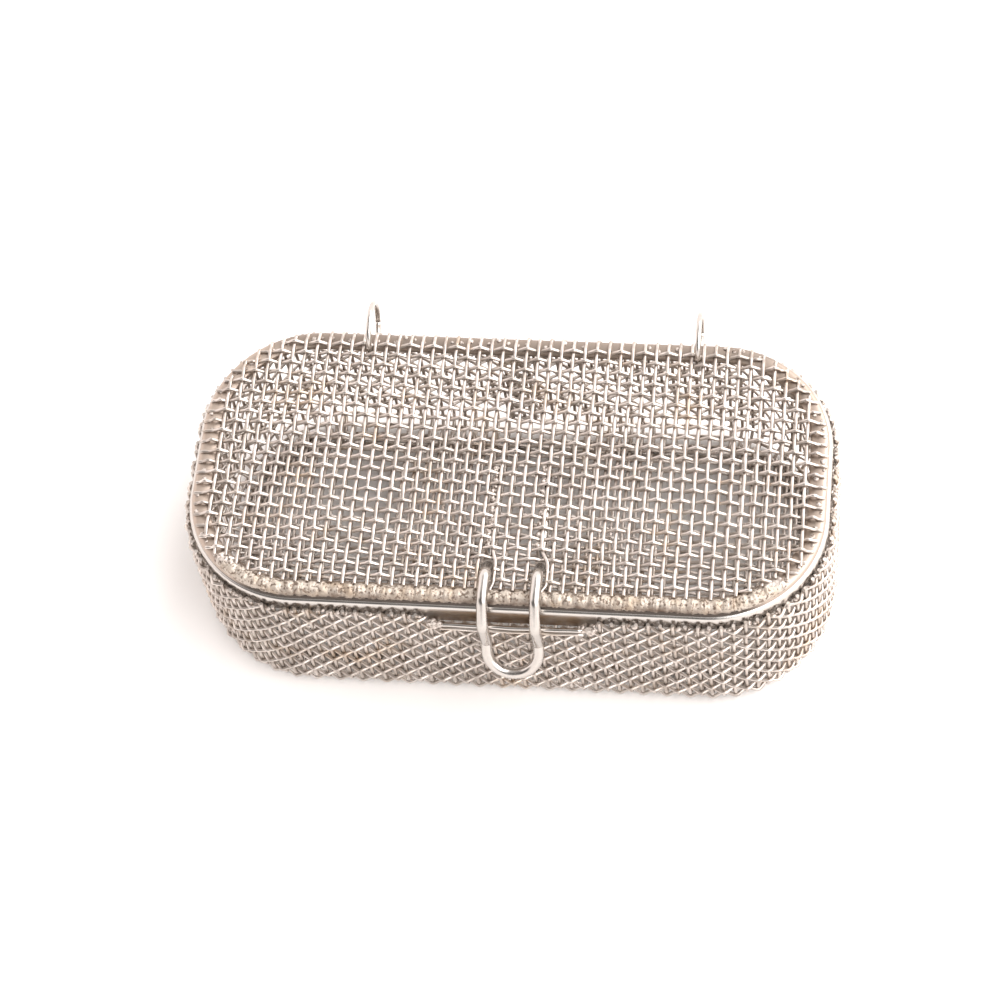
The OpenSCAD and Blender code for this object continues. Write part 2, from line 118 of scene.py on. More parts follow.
class MeshBasketBody(bpy.types.PropertyGroup):
    """The basket's wall, floor and rim."""

    half_l: length("Half length", "Middle to the rim band's outer face, along", BAND_HIGH.x)
    half_w: length("Half depth", "Middle to the rim band's outer face, across", BAND_HIGH.y)
    corner_r: length("Corner radius", "Corner of the rim band's outer face", 15 * MM)
    rim_top: length("Rim height", "Height of the top of the rim", BAND_HIGH.z)
    band_low: length("Band foot", "Height of the band's lower edge", 20.4 * MM)
    band_t: length("Band thickness", "Thickness of the rim band", 0.7 * MM)
    bead_d: length("Bead diameter", "Bead rolled along the top of the band", 1.0 * MM)
    mesh_out: length("Mesh stand-off", "Band's outer face to the middle of the mesh", 0.47 * MM)
    mesh_top: length("Mesh top", "Height of the mesh's upper edge", 21.7 * MM)
    bend_z: length("Bend height", "Height where the foot bend starts", 3.18 * MM)
    bend_r: length("Bend radius", "Radius of the foot bend", 2.77 * MM)
    foot_lap: length("Foot lap", "Mesh turned in under the floor", 2.5 * MM)
    top_row: length("Top row", "Height of the uppermost hoop", 20.57 * MM)
    floor_z: length("Floor height", "Middle of the floor mesh", 1.33 * MM)
    floor_in: length("Floor inset", "Band's outer face to the floor mesh's edge", 2.1 * MM)
    seam_x: length("Seam", "Place of the lap along the back wall", -1.5 * MM)


class MeshBasketLid(bpy.types.PropertyGroup):
    """The lid."""

    half_l: length("Half length", "Middle to the strip's outer edge, along", STRIP_HIGH.x)
    half_w: length("Half depth", "Middle to the strip's outer edge, across", STRIP_HIGH.y)
    corner_r: length("Corner radius", "Corner of the strip's outer edge", 14.6 * MM)
    strip_low: length("Strip underside", "Height of the strip's underside", STRIP_LOW.z)
    strip_top: length("Strip top", "Height of the strip's top", STRIP_HIGH.z)
    strip_w: length("Strip width", "Width of the flat strip", 2.4 * MM)
    round_r: length("Rounding", "Rounding of the strip's upper outer edge", 0.68 * MM)
    bare_w: length("Bare strip", "Bare strip outside the mesh", 1.3 * MM)
    mesh_z: length("Mesh height", "Middle of the lid mesh", 24.27 * MM)
    weld_in: length("Weld inset", "Bare strip in front of the weld bead", 0.12 * MM)
    weld_w: length("Weld width", "Width of the weld bead", 1.93 * MM)
    weld_h: length("Weld height", "Height of the weld bead above the strip", 0.8 * MM)


class MeshBasketLatch(bpy.types.PropertyGroup):
    """The latch, the catch wire and the hinge rings."""

    middle: length("Place", "Place of the latch along the front", 2.0 * MM)
    span: length("Span", "Distance between the legs' centre lines", 6.6 * MM)
    wire: length("Latch wire", "Diameter of the latch wire", 1.46 * MM)
    flex_y: length("Flexing point", "Where the latch wire flexes", LEG_LOW.y)
    leg_end: length("Leg end", "Back end of the legs under the lid", LEG_HIGH.y)
    leg_z: length("Leg height", "Centre line of the legs under the lid", 23.2 * MM)
    arch_z: length("Arch height", "Centre line at the top of the arch", 25.6 * MM)
    catch_d: length("Catch wire", "Diameter of the catch wire", CATCH_HIGH.z - CATCH_LOW.z)
    ring_left_x: length("Left ring", "Left ring's place, along", (LEFT_RING_LOW.x + LEFT_RING_HIGH.x) / 2)
    ring_right_x: length("Right ring", "Right ring's place, along", (RING_LOW.x + RING_HIGH.x) / 2)
    ring_y: length("Ring middle", "Centre of the rings, across", (RING_LOW.y + RING_HIGH.y) / 2)
    ring_z: length("Ring height", "Centre of the rings, up", (RING_LOW.z + RING_HIGH.z) / 2)
    ring_d: length("Ring wire", "Diameter of the ring wire", RING_HIGH.x - RING_LOW.x)


class MeshBasketFinish(bpy.types.PropertyGroup):
    """Colours of the metals and of the studio."""

    wire_light: colour("Wire, light", "Clean woven wire", "#d3cac3")
    wire_dark: colour("Wire, dark", "Duller stretches of the woven wire", "#b5aba3")
    wire_straw: colour("Wire, straw", "Faint heat tint on the woven wire", "#b8a28a")
    rim: colour("Rim", "Rolled strip of the rim and the lid", "#c2bdb8")
    rim_tint: colour("Rim tint", "Brown heat tint on the band behind the catch wire", "#8d7762")
    strip_tint: colour("Strip tint", "Heat tint on the lid strip, left as welded", "#b09f92")
    # Painted shade: near black on the lid strip in front of the long weld, and a little at the back.
    oxide: colour("Oxide", "Dark oxide on the lid strip in front of the long weld", "#3a3532")
    bright: colour("Bright wire", "Drawn wire of the latch and rings", "#bdb6b0")
    weld: colour("Weld", "Clean weld metal", "#cbc1b6")
    weld_straw: colour("Weld, straw", "Straw heat tint on the welds", "#a8927a")
    # Used for the dark pores, and at the long weld's toe partly as painted shade.
    weld_brown: colour("Weld, brown", "Brown heat tint low on the welds", "#5f4b3d")
    floor: colour("Floor", "Plain pale floor", "#f5f2f0")


class MeshBasketStudio(bpy.types.PropertyGroup):
    """Light and camera."""

    key: number("Key light", "Power of the soft light at the right", 6.4, "POWER")
    sky: number("Sides", "Strength of the even light from the sides", 1.85)
    ceiling: number("Ceiling", "Strength of the light from overhead", 0.8)
    dark: number("Dark front", "Strength of the light from above the front", 0.22)
    distance: length("Distance", "Camera to the point that it looks at", 380.95 * MM)
    turn: angle("Turn", "Camera round the basket", 15.02)
    rise: angle("Rise", "Camera above the horizon", 60.46)
    roll: angle("Roll", "Camera about its own axis", -10.75)
    lens: number("Lens", "Focal length", 103.53, "CAMERA")


class MeshBasketSettings(bpy.types.PropertyGroup):
    """Everything a user would change."""

    weave: PointerProperty(type=MeshBasketWeave)
    body: PointerProperty(type=MeshBasketBody)
    lid: PointerProperty(type=MeshBasketLid)
    latch: PointerProperty(type=MeshBasketLatch)
    finish: PointerProperty(type=MeshBasketFinish)
    studio: PointerProperty(type=MeshBasketStudio)


def settings():
    """The sizes and finishes of this scene."""
    return bpy.context.scene.mesh_basket


def ease(value, low, high):
    """0 below low, 1 above high, and a smooth rise between them."""
    t = min(1.0, max(0.0, (value - low) / (high - low)))
    return t * t * (3 - 2 * t)


def wave(turn):
    """Height of a crimped wire, -1 to 1. Its crests come at whole turns and are tighter than a sine's."""
    sharp = 0.11
    return (math.cos(math.pi * turn) + sharp * math.cos(3 * math.pi * turn)) / (1 + sharp)


def drift(x, y, seed):
    """How far the weave lies from a true grid at a place, in two directions, in long and in short waves."""
    wander, long, short = settings().weave.wander, 9 * MM, 2.6 * MM
    wide = Vector((x / long, y / long, seed))
    fine = Vector((x / short, y / short, seed + 40))
    shifts = Vector(), Vector((31, 17, 5))
    return [wander * (noise.noise(wide + shift) + 0.4 * noise.noise(fine + shift)) for shift in shifts]


def reach(t, along, across, r):
    """Half the length of a line that crosses a rounded rectangle at distance t from its middle."""
    beyond = abs(t) - (across - r)
    return along if beyond <= 0 else along - r + math.sqrt(max(0.0, r * r - beyond * beyond))


def around(s, half_l, half_w, r):
    """Place and outward direction at distance s round a rounded rectangle, from the middle of its front."""
    flat_x, flat_y, bend = half_l - r, half_w - r, r * math.pi / 2
    s %= 4 * (flat_x + flat_y + bend)
    spot, way = Vector((0.0, -half_w)), 0.0
    for flat in (flat_x, 2 * flat_y, 2 * flat_x, 2 * flat_y, flat_x):
        step = min(s, flat)
        spot += Vector((math.cos(way), math.sin(way))) * step
        s -= step
        turn = min(s, bend) / r
        centre = spot + Vector((-math.sin(way), math.cos(way))) * r
        way += turn
        spot = centre + Vector((math.sin(way), -math.cos(way))) * r
        s -= turn * r
        if s <= 0:
            break
    return spot, Vector((math.sin(way), -math.cos(way)))


def perimeter(half_l, half_w, r):
    """The way round a rounded rectangle."""
    return 4 * (half_l + half_w - 2 * r) + 4 * r * math.pi / 2


def from_front(s, whole):
    """Distance from the middle of the front, negative to the left, at distance s round the whole."""
    return s if s < whole / 2 else s - whole


def lines(low, high, start=0.0):
    """Number and place of every wire between two limits; start lies midway between two wires."""
    most = 30
    places = {n: start + (n + 0.5) * settings().weave.pitch for n in range(-most, most)}
    return {n: place for n, place in places.items() if low <= place <= high}


def crimped(place, crossings, start, end, parity, steps):
    """Points of one woven wire. crossings maps the number of each wire that it meets to its place, and
    place(t, w) gives the point at t, where w is the height of the wave. The crimp runs on past the last
    crossing at each end, and points that nearly coincide are left out."""
    gap, run_on = settings().weave.pitch, 3
    marks = sorted(crossings.items())
    for _ in range(run_on):
        marks.insert(0, (marks[0][0] - 1, marks[0][1] - gap))
        marks.append((marks[-1][0] + 1, marks[-1][1] + gap))
    points = []
    for (n, a), (_, b) in zip(marks, marks[1:]):
        stops = [a + (b - a) * k / steps for k in range(steps)] + [t for t in (start, end) if a <= t < b]
        for t in sorted(stops):
            if start <= t <= end:
                points.append((t, wave(n + (t - a) / (b - a) + parity)))
    kept, least = [points[0]], 0.02 * gap
    for t, w in points[1:]:
        if t - kept[-1][0] > least:
            kept.append((t, w))
    return [place(t, w) for t, w in kept]


def link(name, mesh):
    """Puts a mesh into the scene under that name."""
    piece = bpy.data.objects.new(name, mesh)
    bpy.context.scene.collection.objects.link(piece)
    return piece


def wires(name, routes, thickness, rounding=1, closed=False):
    """A mesh of round wires, one for each route of points."""
    line = bpy.data.curves.new(name + "_line", "CURVE")
    line.dimensions = "3D"
    line.bevel_depth = thickness / 2
    line.bevel_resolution = rounding
    line.use_fill_caps = True
    for route in routes:
        spline = line.splines.new("POLY")
        spline.points.add(len(route) - 1)
        spline.points.foreach_set("co", [c for p in route for c in (p[0], p[1], p[2], 1.0)])
        spline.use_cyclic_u = closed
    holder = bpy.data.objects.new(name + "_line", line)
    mesh = bpy.data.meshes.new_from_object(holder)
    bpy.data.objects.remove(holder)
    bpy.data.curves.remove(line)
    mesh.name = name
    bm = bmesh.new()
    bm.from_mesh(mesh)
    bmesh.ops.remove_doubles(bm, verts=bm.verts, dist=1e-7)
    bmesh.ops.recalc_face_normals(bm, faces=bm.faces)
    for face in bm.faces:
        face.smooth = len(face.verts) == 4
    bm.to_mesh(mesh)
    bm.free()
    return link(name, mesh)


def from_bmesh(name, bm, smooth=True):
    """Puts a finished bmesh into the scene, with its faces pointing outwards."""
    mesh = bpy.data.meshes.new(name)
    bmesh.ops.recalc_face_normals(bm, faces=bm.faces)
    for face in bm.faces:
        face.smooth = smooth
    bm.to_mesh(mesh)
    bm.free()
    return link(name, mesh)


def swept(name, profile, half_l, half_w, r):
    """A closed profile of (out, height) points carried round a rounded rectangle by extrusions and spins."""
    bm = bmesh.new()
    ring = [bm.verts.new((0.0, -half_w - out, up)) for out, up in profile]
    edges = [bm.edges.new((a, b)) for a, b in zip(ring, ring[1:] + ring[:1])]
    flat_x, flat_y, way = half_l - r, half_w - r, 0.0
    corners = [(flat_x, -flat_y), (flat_x, flat_y), (-flat_x, flat_y), (-flat_x, -flat_y)]
    for flat, corner in zip((flat_x, 2 * flat_y, 2 * flat_x, 2 * flat_y, flat_x), corners + [None]):
        made = bmesh.ops.extrude_edge_only(bm, edges=edges)["geom"]
        moved = [v for v in made if isinstance(v, bmesh.types.BMVert)]
        edges = [e for e in made if isinstance(e, bmesh.types.BMEdge) and all(v in moved for v in e.verts)]
        bmesh.ops.translate(bm, verts=moved, vec=(flat * math.cos(way), flat * math.sin(way), 0.0))
        if corner:
            made = bmesh.ops.spin(
                bm,
                geom=edges,
                cent=(*corner, 0.0),
                axis=(0, 0, 1),
                angle=math.pi / 2,
                steps=CORNER_STEPS,
                use_merge=False,
            )["geom_last"]
            edges = [e for e in made if isinstance(e, bmesh.types.BMEdge)]
            way += math.pi / 2
    bmesh.ops.remove_doubles(bm, verts=bm.verts, dist=1e-6)
    return from_bmesh(name, bm)


def lumps(name, spots, seed, rough=0.28):
    """Small blobs of weld metal, each given as (place, radii); their skins are uneven."""
    bm = bmesh.new()
    for n, (place, radii) in enumerate(spots):
        made = bmesh.ops.create_icosphere(bm, subdivisions=2, radius=1.0)["verts"]
        for v in made:
            v.co *= 1 + rough * noise.noise(v.co * 1.7 + Vector((n * 3.1, seed, 0)))
            v.co = Vector(place) + Vector((v.co.x * radii[0], v.co.y * radii[1], v.co.z * radii[2]))
    return from_bmesh(name, bm)


def dress(piece, body, slot, *nodes):
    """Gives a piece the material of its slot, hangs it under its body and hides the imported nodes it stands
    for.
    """
    piece.data.materials.clear()
    piece.data.materials.append(FINISHES[slot]())
    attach(piece, body)
    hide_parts(*nodes)


def blank(owner):
    """The node tree of a new material or world, emptied."""
    owner.use_nodes = True
    owner.node_tree.nodes.clear()
    return owner.node_tree


def add(tree, kind, inputs=(), **values):
    """Adds a shader node, sets its own values, and sets or links its inputs. They are given in their order,
    or by name or number, and a node among them stands for its first output. In order, a Map Range node takes
    the value, the two ends that it reads and the two that it gives, which are 0 and 1 if left out."""
    node = tree.nodes.new("ShaderNode" + kind)
    for key, value in values.items():
        setattr(node, key, value)
    for key, value in inputs.items() if isinstance(inputs, dict) else enumerate(inputs):
        if isinstance(value, bpy.types.Node):
            value = value.outputs[0]
        if isinstance(value, bpy.types.NodeSocket):
            tree.links.new(value, node.inputs[key])
        else:
            node.inputs[key].default_value = value
    return node


def metal(name, build):
    """The metal of that name, made once. build(node, place) returns its colour and roughness, and the height
    of its bumps with how deep that is in metres."""
    found = bpy.data.materials.get(name)
    if found:
        return found
    material = bpy.data.materials.new(name)
    node = partial(add, blank(material))
    shade, rough, height, depth = build(node, node("TexCoord").outputs["Object"])
    bump = node("Bump", {"Height": height, "Distance": depth, "Strength": 1.0})
    finish = {"Base Color": shade, "Roughness": rough, "Metallic": 1.0, "Normal": bump}
    node("OutputMaterial", {"Surface": node("BsdfPrincipled", finish)})
    return material


def woven_wire():
    """Drawn AISI 304 wire, woven and then pickled: a satin skin, warm grey, duller in patches 2.4 mm wide,
    with a trace of straw in patches 6 mm wide where a weld was near. Its pits are too fine to show, so they
    are drawn 0.3 mm wide."""

    def build(node, place):
        tone = settings().finish
        patches = node("TexNoise", {"Vector": place, "Scale": 0.42 * PER_MM, "Detail": 3.0})
        straw = node("TexNoise", {"Vector": place, "Scale": 0.16 * PER_MM, "Detail": 2.0})
        pits = node("TexNoise", {"Vector": place, "Scale": 3.2 * PER_MM, "Detail": 2.0})
        dull = node("MapRange", (patches, 0.38, 0.62))
        warm = node("MapRange", (straw, 0.56, 0.74, 0.0, 0.5))
        light, dark = (*tone.wire_light, 1), (*tone.wire_dark, 1)
        grey = node("Mix", {0: dull, 6: light, 7: dark}, data_type="RGBA").outputs[2]
        shade = node("Mix", {0: warm, 6: grey, 7: (*tone.wire_straw, 1)}, data_type="RGBA").outputs[2]
        rough = node("MapRange", (patches, 0.3, 0.7, 0.26, 0.42))
        return shade, rough, pits, 0.02 * MM

    return metal("pickled_woven_steel_wire", build)


def rolled_strip():
    """Rolled AISI 304 strip. The rim is polished after welding, bright and smooth, with faint spots 3.3 mm
    wide and a brown heat tint on the band behind the catch wire. The lid's strip is left as welded: duller
    and tinted, with painted shade darkening it in front of the long weld and a little at the back."""

    def build(node, place):
        tone, latch = settings().finish, settings().latch
        spots = node("TexNoise", {"Vector": place, "Scale": 0.3 * PER_MM, "Detail": 4.0})
        at = node("SeparateXYZ", [place]).outputs

        across = node("Math", (at["X"], latch.middle), operation="SUBTRACT")
        near = node("MapRange", (node("Math", [across], operation="ABSOLUTE"), 12 * MM, 8 * MM))
        front = node("MapRange", (at["Y"], -19.3 * MM, -19.7 * MM))
        low = node("MapRange", (at["Z"], 22.6 * MM, 22.1 * MM))
        both = node("Math", (near, front), operation="MULTIPLY")
        tint = node("Math", (both, low), operation="MULTIPLY")
        patchy = node("Math", (tint, spots), operation="MULTIPLY")
        amount = node("Math", (patchy, 1.7), operation="MULTIPLY", use_clamp=True)
        clean, brown = (*tone.rim, 1), (*tone.rim_tint, 1)
        band = node("Mix", {0: amount, 6: clean, 7: brown}, data_type="RGBA").outputs[2]

        lid = node("MapRange", (at["Z"], 23.02 * MM, 23.06 * MM, 0.0, 0.9))
        # Painted shade: the lid strip turns near black in front of the long weld, and partway to it at the
        # back.
        face = node("MapRange", (at["Y"], -17.2 * MM, -18.6 * MM))
        rear = node("MapRange", (at["Y"], 16.6 * MM, 17.8 * MM, 0.0, 0.4))
        ends = node("Math", (face, rear), operation="MAXIMUM")
        oxide = node("Math", (lid, ends), operation="MULTIPLY")
        welded = node("Mix", {0: lid, 6: band, 7: (*tone.strip_tint, 1)}, data_type="RGBA").outputs[2]
        shade = node("Mix", {0: oxide, 6: welded, 7: (*tone.oxide, 1)}, data_type="RGBA").outputs[2]

        smooth = node("MapRange", (spots, 0.3, 0.7, 0.16, 0.27))
        dull = node("Math", (tint, lid), operation="MAXIMUM")
        rough = node("MapRange", (dull, 0.0, 1.0, smooth, 0.48))
        return shade, rough, spots, 0.01 * MM

    return metal("polished_rolled_steel_strip", build)


def bright_wire():
    """Hard drawn AISI 302 spring wire, bright from the die, with handling marks 1.4 mm wide."""

    def build(node, place):
        tone = settings().finish
        marks = node("TexNoise", {"Vector": place, "Scale": 0.7 * PER_MM, "Detail": 4.0})
        drawn, worn = (*tone.bright, 1), (*tone.rim, 1)
        shade = node("Mix", {0: marks, 6: drawn, 7: worn}, data_type="RGBA").outputs[2]
        rough = node("MapRange", (marks, 0.35, 0.7, 0.12, 0.3))
        return shade, rough, marks, 0.015 * MM

    return metal("bright_drawn_spring_wire", build)


def weld_metal():
    """Weld metal left as welded: an uneven skin with a grain of 0.4 mm. The long weld is cream on top, straw
    in patches 2 mm wide, and dark brown in patches at its toe, partly heat tint and partly painted shade
    under its front edge. The small welds are as grey as the wire."""

    def build(node, place):
        tone = settings().finish
        grain = node("TexNoise", {"Vector": place, "Scale": 2.6 * PER_MM, "Detail": 4.0})
        patch = node("TexNoise", {"Vector": place, "Scale": 0.52 * PER_MM, "Detail": 3.0})
        at = node("SeparateXYZ", [place]).outputs

        front = node("MapRange", (at["Y"], -15.2 * MM, -16.2 * MM))
        high = node("MapRange", (at["Z"], 23.1 * MM, 23.4 * MM))
        long = node("Math", (front, high), operation="MULTIPLY")
        cream, grey = (*tone.weld, 1), (*tone.wire_light, 1)
        clean = node("Mix", {0: long, 6: grey, 7: cream}, data_type="RGBA").outputs[2]

        # Painted shade with real heat tint: the front edge of the long weld is darkened brown in patches.
        toe = node("MapRange", (at["Y"], -18.8 * MM, -19.4 * MM, 0.0, 0.75))
        foot = node("Math", (toe, high), operation="MULTIPLY")
        specks = node("MapRange", (patch, 0.35, 0.6, 1.2, 0.3))
        soot = node("Math", (foot, specks), operation="MULTIPLY", use_clamp=True)
        pores = node("MapRange", (grain, 0.5, 0.38, 0.0, 0.8))
        burnt = node("Math", (pores, soot), operation="MAXIMUM")

        straw = node("MapRange", (patch, 0.48, 0.68, 0.0, 0.55))
        heat = node("Math", (straw, long), operation="MULTIPLY")
        warm = node("Mix", {0: heat, 6: clean, 7: (*tone.weld_straw, 1)}, data_type="RGBA").outputs[2]
        shade = node("Mix", {0: burnt, 6: warm, 7: (*tone.weld_brown, 1)}, data_type="RGBA").outputs[2]
        rough = node("MapRange", (grain, 0.3, 0.7, 0.5, 0.72))
        return shade, rough, grain, 0.16 * MM

    return metal("heat_tinted_weld", build)


FINISHES = {
    "mesh_wire": woven_wire,
    "rim_steel": rolled_strip,
    "latch_wire": bright_wire,
    "ring_wire": bright_wire,
    "weld_metal": weld_metal,
}


def upright_places():
    """Distance round the rim of every upright of the wall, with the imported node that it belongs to."""
    body, pitch = settings().body, settings().weave.pitch
    flat_x, flat_y = body.half_l - body.corner_r, body.half_w - body.corner_r
    bend = body.corner_r * math.pi / 2
    count = int((body.corner_r + body.mesh_out + ROD_OFF) * math.pi / 2 / pitch)
    half = 2 * flat_x + 2 * flat_y + 2 * bend
    places = []
    for i in range(-int(flat_x / pitch + 0.5), int(flat_x / pitch + 0.5)):
        s = (i + 0.5) * pitch
        places += [(s, "wall_front_uprights"), (half + s, "wall_rear_uprights")]
    for j in range(-int(flat_y / pitch), int(flat_y / pitch) + 1):
        s = flat_x + bend + flat_y + j * pitch
        places += [(s, "wall_right_uprights"), (half + s, "wall_left_uprights")]
    for k in range(count):
        s = flat_x + (k + 0.5) * bend / count
        places += [(s, "corner_front_right_uprights"), (half + s, "corner_rear_left_uprights")]
        s += bend + 2 * flat_y
        places += [(s, "corner_rear_right_uprights"), (half + s, "corner_front_left_uprights")]
    return sorted(places)


def wall_rows():
    """Distance of every hoop below the start of the foot bend, numbered from the top."""
    body, pitch = settings().body, settings().weave.pitch
    heights = []
    z, least = body.top_row, 0.2 * MM
    while z > body.bend_z + least:
        heights.append(body.bend_z - z)
        z -= pitch
    bend = body.bend_r * math.pi / 2
    rows = heights + [bend / 3, 2 * bend / 3, bend, bend + pitch]
    return dict(enumerate(rows))


def wall_point(s, q, lift):
    """A point of the wall mesh: s runs round the rim, q down the wall, round its bend and in below the
    floor, and lift is how far outside the mesh's middle the point lies."""
    body = settings().body
    bend = body.bend_r * math.pi / 2
    a = min(max(q / body.bend_r, 0.0), math.pi / 2)
    out = body.mesh_out - body.bend_r + body.bend_r * math.cos(a) - max(0.0, q - bend) + math.cos(a) * lift
    up = body.bend_z - body.bend_r * math.sin(a) + max(0.0, -q) - math.sin(a) * lift
    spot, way = around(s, body.half_l, body.half_w, body.corner_r)
    return Vector((spot.x + way.x * out, spot.y + way.y * out, up))


def slot_edges():
    """Where the wall mesh is cut lower for the catch wire, and how high it still reaches there."""
    latch = settings().latch
    beyond, above = 1.45 * MM, 0.1 * MM
    half = (CATCH_HIGH.x - CATCH_LOW.x) / 2 + beyond
    return latch.middle - half, latch.middle + half, CATCH_LOW.z + above


class MESHBASKET_OT_wall_mesh(bpy.types.Operator):
    """Woven wall: the uprights of each side and corner, and the hoops that they are woven with"""

    bl_idname = "mesh_basket.wall_mesh"
    bl_label = "Wall Mesh"

    def execute(self, context):
        body, weave = settings().body, settings().weave
        rows, places = wall_rows(), upright_places()
        bend = body.bend_r * math.pi / 2
        whole = perimeter(body.half_l, body.half_w, body.corner_r)
        low, high, slot_top = slot_edges()
        pick = random.Random(11)
        upright_crimp = weave.long_crimp + weave.cross_crimp - weave.wall_crimp

        def crimp(full, q):
            return full + (weave.foot_crimp - full) * ease(q, 0.0, bend)

        def point(s, q, lift):
            ds, dq = drift(s, q, seed=3.7)
            free = 1 - ease(q, 0, bend)
            return wall_point(s + ds * free, q + dq * free, lift)

        groups = {}
        for n, (s, node) in enumerate(places):
            short = low < from_front(s, whole) < high
            top = slot_top if short else body.mesh_top
            start = body.bend_z - top - pick.uniform(-0.1, 0.25) * MM

            def place(q, w, s=s):
                return point(s, q, -crimp(upright_crimp, q) * w)

            route = crimped(place, rows, start, bend + body.foot_lap, n, weave.steps)
            groups.setdefault(node, []).append(route)
        for node, routes in groups.items():
            dress(wires("woven_" + node, routes, weave.wire), "basket", "mesh_wire", node)

        closed, cut = [], []
        steps = weave.steps - 1
        for row, q in rows.items():
            route = []
            for n, (a, _) in enumerate(places):
                b = places[(n + 1) % len(places)][0]
                b += whole if b < a else 0
                for k in range(steps):
                    s = a + (b - a) * k / steps
                    spot = point(s, q, crimp(weave.wall_crimp, q) * wave(n + k / steps + row))
                    route.append((from_front(s, whole), spot))
            if body.bend_z - q > slot_top:
                route = [(x, spot) for x, spot in route if not low < x < high]
                route.sort(key=lambda item: item[0] % whole)
                cut.append([spot for _, spot in route])
            else:
                closed.append([spot for _, spot in route])
        dress(wires("woven_wall_hoops", closed, weave.wire, closed=True), "basket", "mesh_wire", "wall_hoops")
        dress(wires("woven_top_hoop", cut, weave.wire), "basket", "mesh_wire", "wall_hoops")
        return {"FINISHED"}


class MESHBASKET_OT_floor_mesh(bpy.types.Operator):
    """Woven floor: wires along the length and wires across"""

    bl_idname = "mesh_basket.floor_mesh"
    bl_label = "Floor Mesh"

    def execute(self, context):
        body, weave = settings().body, settings().weave
        half_l, half_w = body.half_l - body.floor_in, body.half_w - body.floor_in
        r, steps = body.corner_r - body.floor_in, weave.steps - 2
        xs = lines(weave.wire - half_l, half_l - weave.wire)
        ys = lines(weave.wire - half_w, half_w - weave.wire)
        along, across = [], []
        for j, y in ys.items():
            h = reach(y, half_l, half_w, r)
            met = {i: x for i, x in xs.items() if abs(x) < h}

            def place(x, w, y=y):
                dx, dy = drift(x, y, seed=8.2)
                return Vector((x + dx, y + dy, body.floor_z + ROD_OFF * w))

            along.append(crimped(place, met, -h, h, j, steps))
        for i, x in xs.items():
            h = reach(x, half_w, half_l, r)
            met = {j: y for j, y in ys.items() if abs(y) < h}

            def place(y, w, x=x):
                dx, dy = drift(x, y, seed=8.2)
                return Vector((x + dx, y + dy, body.floor_z - ROD_OFF * w))

            across.append(crimped(place, met, -h, h, i, steps))
        dress(wires("woven_floor_along", along, weave.wire), "basket", "mesh_wire", "floor_long_wires")
        dress(wires("woven_floor_across", across, weave.wire), "basket", "mesh_wire", "floor_cross_wires")
        return {"FINISHED"}


class MESHBASKET_OT_seam_lap(bpy.types.Operator):
    """The inner end of the wall mesh, lapped inside the outer end at the back"""

    bl_idname = "mesh_basket.seam_lap"
    bl_label = "Seam Lap"

    def execute(self, context):
        body, weave = settings().body, settings().weave
        low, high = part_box("wall_seam_lap")
        y, swing = (low.y + high.y) / 2 - 0.05 * MM, 0.2 * MM
        rows = {-row: body.bend_z - q for row, q in wall_rows().items() if low.z < body.bend_z - q < high.z}
        cols = {t: body.seam_x + t * weave.pitch for t in (-1, 0, 1)}
        routes = []
        for t, x in cols.items():

            def place(z, w, x=x):
                return Vector((x, y - swing * w, z))

            routes.append(crimped(place, rows, low.z, high.z, t, weave.steps))
        for row, z in rows.items():

            def place(x, w, z=z):
                return Vector((x, y + swing * w, z))

            routes.append(crimped(place, cols, low.x, high.x, row, weave.steps))
        dress(wires("woven_seam_lap", routes, weave.wire), "basket", "mesh_wire", "wall_seam_lap")
        return {"FINISHED"}


def arc(cx, cy, r, start, end, steps):
    """Points on an arc, with angles in degrees."""
    return [
        (cx + r * math.cos(math.radians(a)), cy + r * math.sin(math.radians(a)))
        for a in (start + (end - start) * k / steps for k in range(steps + 1))
    ]


class MESHBASKET_OT_rim(bpy.types.Operator):
    """Band round the top of the wall, with the bead rolled along its upper edge"""

    bl_idname = "mesh_basket.rim"
    bl_label = "Rim Band"

    def execute(self, context):
        body = settings().body
        r = body.bead_d / 2
        soft = 0.12 * MM
        profile = [(-body.band_t, body.band_low + soft), (-body.band_t + soft, body.band_low)]
        profile += [(-soft, body.band_low), (0.0, body.band_low + soft)]
        turn = math.degrees(math.acos(max(-1.0, (r - body.band_t) / r)))
        profile += arc(-r, body.rim_top - r, r, 0, 360 - turn, steps=22)
        band = swept("rolled_rim_band", profile, body.half_l, body.half_w, body.corner_r)
        dress(band, "basket", "rim_steel", "rim_band")

        # The lip behind the catch wire laps the band and stands proud of it by a hair, so no faces coincide.
        low, high, _ = slot_edges()
        lap, proud, rounding = 0.4 * MM, 0.01 * MM, 0.2 * MM
        tall = body.band_low + lap - BAND_LOW.z
        middle = (settings().latch.middle, body.band_t / 2 - body.half_w - proud, BAND_LOW.z + tall / 2)
        bm = bmesh.new()
        bmesh.ops.create_cube(bm, size=1.0)
        bmesh.ops.scale(bm, verts=bm.verts, vec=(high - low, body.band_t + 2 * proud, tall))
        bmesh.ops.translate(bm, verts=bm.verts, vec=middle)
        edges = [e for e in bm.edges if all(v.co.z < middle[2] for v in e.verts)]
        bmesh.ops.bevel(bm, geom=edges, offset=rounding, segments=4, profile=0.5, affect="EDGES", material=-1)
        dress(from_bmesh("rolled_band_lip", bm, smooth=False), "basket", "rim_steel", "rim_band")
        return {"FINISHED"}


